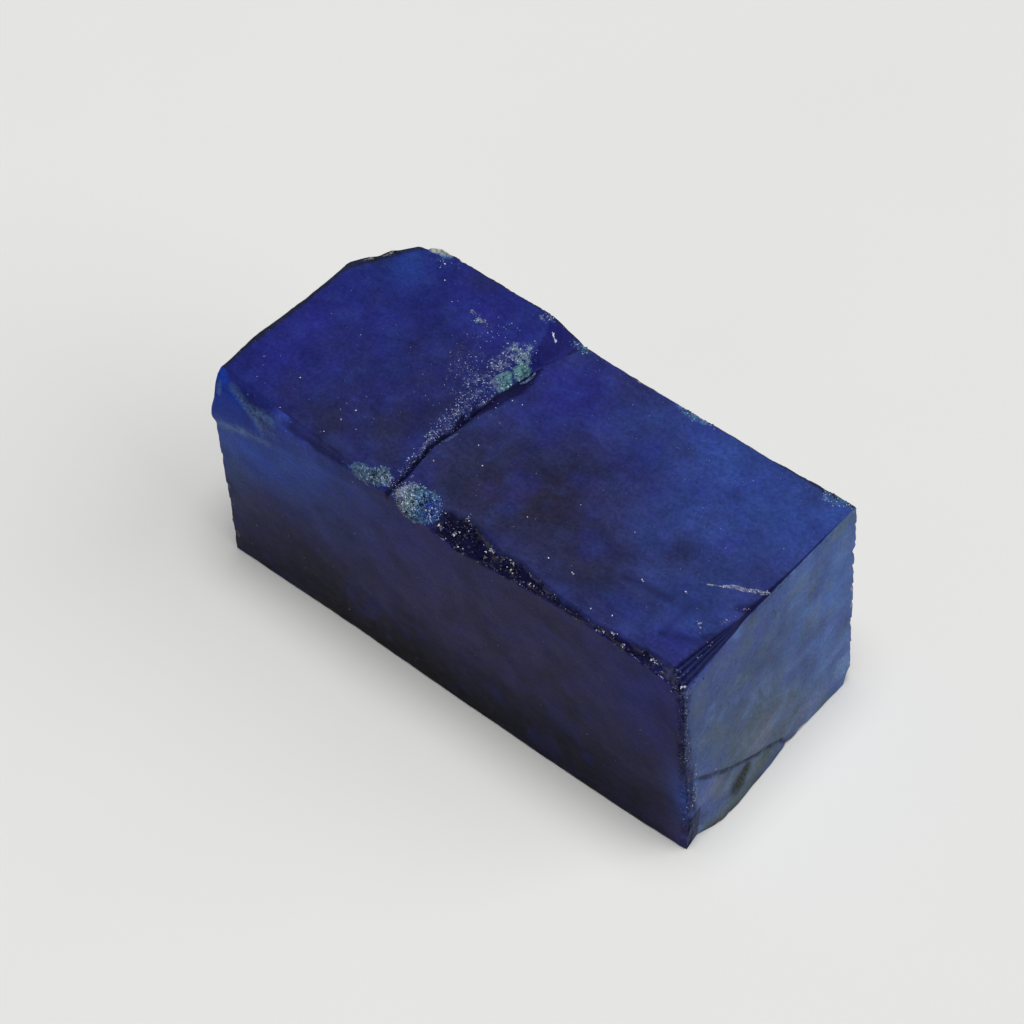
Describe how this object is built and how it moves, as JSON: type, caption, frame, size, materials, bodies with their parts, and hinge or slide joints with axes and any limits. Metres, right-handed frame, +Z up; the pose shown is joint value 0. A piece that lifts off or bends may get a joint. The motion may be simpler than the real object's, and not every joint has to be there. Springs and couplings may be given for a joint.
{
  "type": "rough tanzanite block",
  "caption": "Saw-cut block of rough, deep blue tanzanite with a stepped top, chipped edges and pale sugary crusts, resting on its flat underside.",
  "frame": {"origin": "middle of the flat underside, on the surface that the block rests on", "axes": "+X along the block's length towards its plain sawn end, +Y towards its back face, +Z up"},
  "size_m": [0.0509, 0.0222, 0.0244],
  "materials": {
    "stone": "sawn, slightly glossy deep blue stone, darker inside, with frosted sawn faces and pale sugary crusts"
  },
  "bodies": {
    "root": {"tanzanite_block": "stone"}
  },
  "joints": []
}
